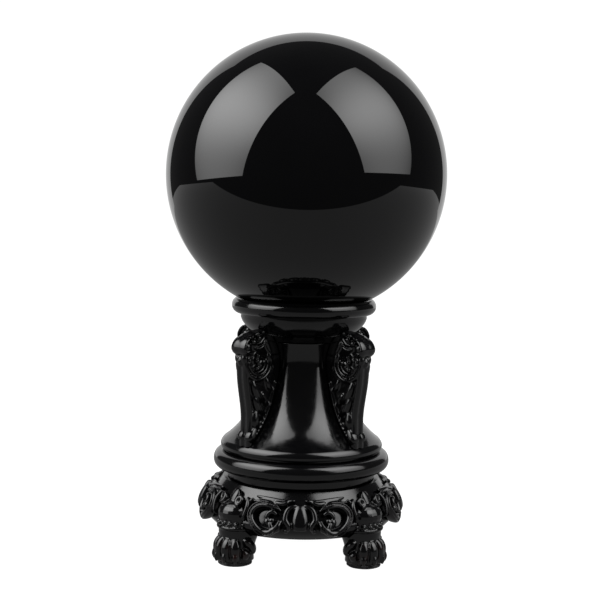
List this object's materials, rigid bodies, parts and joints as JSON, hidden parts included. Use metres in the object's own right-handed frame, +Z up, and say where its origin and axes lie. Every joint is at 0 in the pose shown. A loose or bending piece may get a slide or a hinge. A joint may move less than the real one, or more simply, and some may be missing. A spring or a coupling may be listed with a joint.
{
  "type": "crystal ball",
  "caption": "Gloss black ball resting in the cup of a low column stand with scroll brackets, a carved apron and lion paw feet.",
  "frame": {"origin": "on the floor under the middle of the stand, in the plane of the felt pads' undersides", "axes": "+Z up through the middle of the stand and the ball; -Y towards the front panel, midway between the two front paw feet; +X to the right"},
  "size_m": [0.08, 0.08, 0.1481],
  "materials": {
    "obsidian": "polished volcanic glass, opaque black",
    "black_resin": "cast resin under black lacquer, gloss",
    "cushion_rubber": "moulded, matt black",
    "bright_steel": "zinc plated",
    "black_felt": "pressed wool felt, self-adhesive"
  },
  "bodies": {
    "stand": {"cup": "black_resin", "column_shaft": "black_resin", "base_moulding": "black_resin", "foot_ring": "black_resin", "tie_bolt": "bright_steel", "clamp_washer": "bright_steel", "clamp_nut": "bright_steel", "bracket_front_left": "black_resin", "bracket_front_right": "black_resin", "bracket_rear_right": "black_resin", "bracket_rear_left": "black_resin", "paw_foot_front_left": "black_resin", "paw_foot_front_right": "black_resin", "paw_foot_rear_right": "black_resin", "paw_foot_rear_left": "black_resin", "felt_pad_front_left": "black_felt", "felt_pad_front_right": "black_felt", "felt_pad_rear_right": "black_felt", "felt_pad_rear_left": "black_felt", "scroll_panel_front": "black_resin", "scroll_panel_right": "black_resin", "scroll_panel_rear": "black_resin", "scroll_panel_left": "black_resin"},
    "cushion": {"cushion_ring": "cushion_rubber"},
    "ball": {"ball": "obsidian"}
  },
  "joints": [
    {"name": "ball_turn", "type": "hinge", "parent": "stand", "child": "cushion", "pos_m": [0, 0, 0.0694], "axis": [0, 0, 1], "continuous": true},
    {"name": "ball_lift", "type": "slide", "parent": "cushion", "child": "ball", "axis": [0, 0, 1], "range_m": [0, 0.06]}
  ]
}
